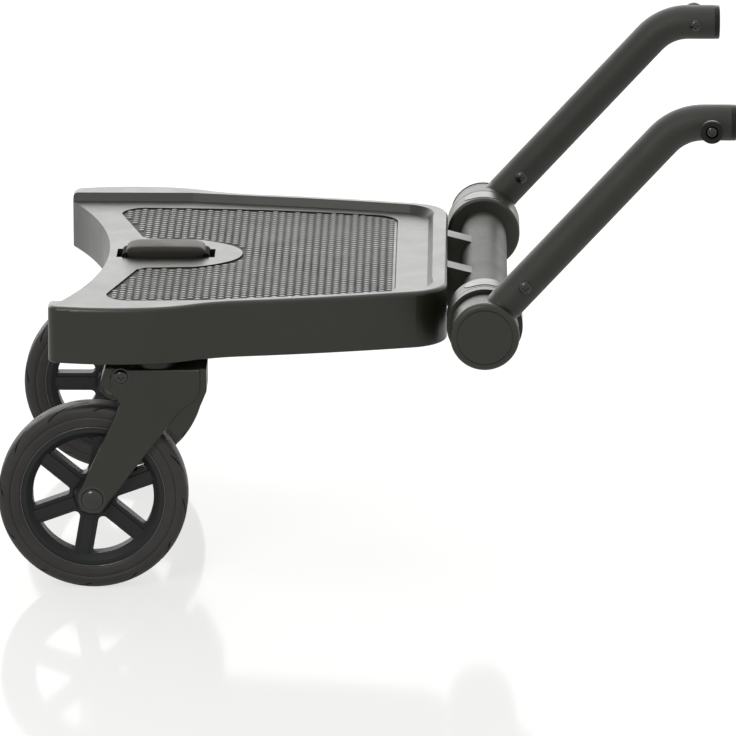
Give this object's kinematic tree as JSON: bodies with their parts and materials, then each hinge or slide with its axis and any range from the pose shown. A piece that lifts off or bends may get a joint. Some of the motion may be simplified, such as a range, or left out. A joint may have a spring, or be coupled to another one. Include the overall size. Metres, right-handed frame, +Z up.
{
  "type": "pushchair ride-on board",
  "caption": "Ride-on board that trails behind a pushchair: moulded deck with grip mat and lift handle, swivel casters, and folding tube arms that end in mushroom pegs.",
  "frame": {"origin": "on the floor under the middle of the board's overall length and width", "axes": "+X towards the pushchair, +Y to the left, +Z up"},
  "size_m": [0.5855, 0.432, 0.3997],
  "materials": {
    "deck_plastic": "satin moulded black plastic with a fine grain",
    "mat_rubber": "matt black rubber with round studs",
    "tube_metal": "satin black powder coat",
    "joint_plastic": "satin moulded black plastic",
    "caster_plastic": "satin moulded black plastic",
    "rim_plastic": "satin charcoal plastic",
    "tyre_rubber": "matt black rubber",
    "bush_plastic": "smooth black plastic",
    "dark_fastener": "black-coated steel",
    "fastener_steel": "plain steel",
    "peg_plastic": "smooth black plastic",
    "button_plastic": "smooth black plastic",
    "grip_rubber": "soft black rubber",
    "webbing": "black woven webbing"
  },
  "bodies": {
    "board": {"deck_board": "deck_plastic", "deck_ribs": "deck_plastic", "grip_mat": "mat_rubber", "cross_tube": "tube_metal", "right_tube_bracket": "joint_plastic", "left_tube_bracket": "joint_plastic", "bracket_screws": "fastener_steel", "right_collar": "joint_plastic", "left_collar": "joint_plastic", "right_hinge_pin": "fastener_steel", "left_hinge_pin": "fastener_steel", "right_stem_socket": "bush_plastic", "left_stem_socket": "bush_plastic"},
    "lift_handle": {"lift_grip": "grip_rubber", "lift_strap": "webbing"},
    "right_caster": {"right_fork": "caster_plastic", "right_kingpin": "fastener_steel", "right_fork_screw": "dark_fastener", "right_axle": "dark_fastener", "right_axle_nut": "dark_fastener"},
    "left_caster": {"left_fork": "caster_plastic", "left_kingpin": "fastener_steel", "left_fork_screw": "dark_fastener", "left_axle": "dark_fastener", "left_axle_nut": "dark_fastener"},
    "right_wheel": {"right_rim": "rim_plastic", "right_tyre": "tyre_rubber", "right_wheel_bush": "bush_plastic"},
    "left_wheel": {"left_rim": "rim_plastic", "left_tyre": "tyre_rubber", "left_wheel_bush": "bush_plastic"},
    "right_arm": {"right_arm_tube": "tube_metal", "right_knuckle": "joint_plastic", "right_hinge_cap": "joint_plastic", "right_arm_bolt": "dark_fastener", "right_peg": "peg_plastic", "right_peg_bolt": "dark_fastener", "right_tube_plug": "peg_plastic"},
    "left_arm": {"left_arm_tube": "tube_metal", "left_knuckle": "joint_plastic", "left_hinge_cap": "joint_plastic", "left_arm_bolt": "dark_fastener", "left_peg": "peg_plastic", "left_peg_bolt": "dark_fastener", "left_tube_plug": "peg_plastic"},
    "right_push_button": {"right_button": "button_plastic"},
    "left_push_button": {"left_button": "button_plastic"}
  },
  "joints": [
    {"name": "right_swivel", "type": "hinge", "parent": "board", "child": "right_caster", "pos_m": [-0.1665, -0.168, 0.184], "axis": [0, 0, 1], "continuous": true},
    {"name": "left_swivel", "type": "hinge", "parent": "board", "child": "left_caster", "pos_m": [-0.1665, 0.168, 0.184], "axis": [0, 0, 1], "continuous": true},
    {"name": "right_wheel_spin", "type": "hinge", "parent": "right_caster", "child": "right_wheel", "pos_m": [-0.2175, -0.168, 0.076], "axis": [0, 1, 0], "continuous": true},
    {"name": "left_wheel_spin", "type": "hinge", "parent": "left_caster", "child": "left_wheel", "pos_m": [-0.2175, 0.168, 0.076], "axis": [0, 1, 0], "continuous": true},
    {"name": "right_arm_fold", "type": "hinge", "parent": "board", "child": "right_arm", "pos_m": [0.095, -0.181, 0.215], "axis": [0, -1, 0], "range_deg": [-45, 75]},
    {"name": "left_arm_fold", "type": "hinge", "parent": "board", "child": "left_arm", "pos_m": [0.095, 0.181, 0.215], "axis": [0, -1, 0], "range_deg": [-45, 75]},
    {"name": "right_button_press", "type": "slide", "parent": "board", "child": "right_push_button", "axis": [0, 0, -1], "range_m": [0, 0.0022], "stiffness_N_per_m": 600, "springref_m": -0.002},
    {"name": "left_button_press", "type": "slide", "parent": "board", "child": "left_push_button", "axis": [0, 0, -1], "range_m": [0, 0.0022], "stiffness_N_per_m": 600, "springref_m": -0.002},
    {"name": "handle_lift", "type": "slide", "parent": "board", "child": "lift_handle", "axis": [0, 0, 1], "range_m": [0, 0.012]}
  ]
}
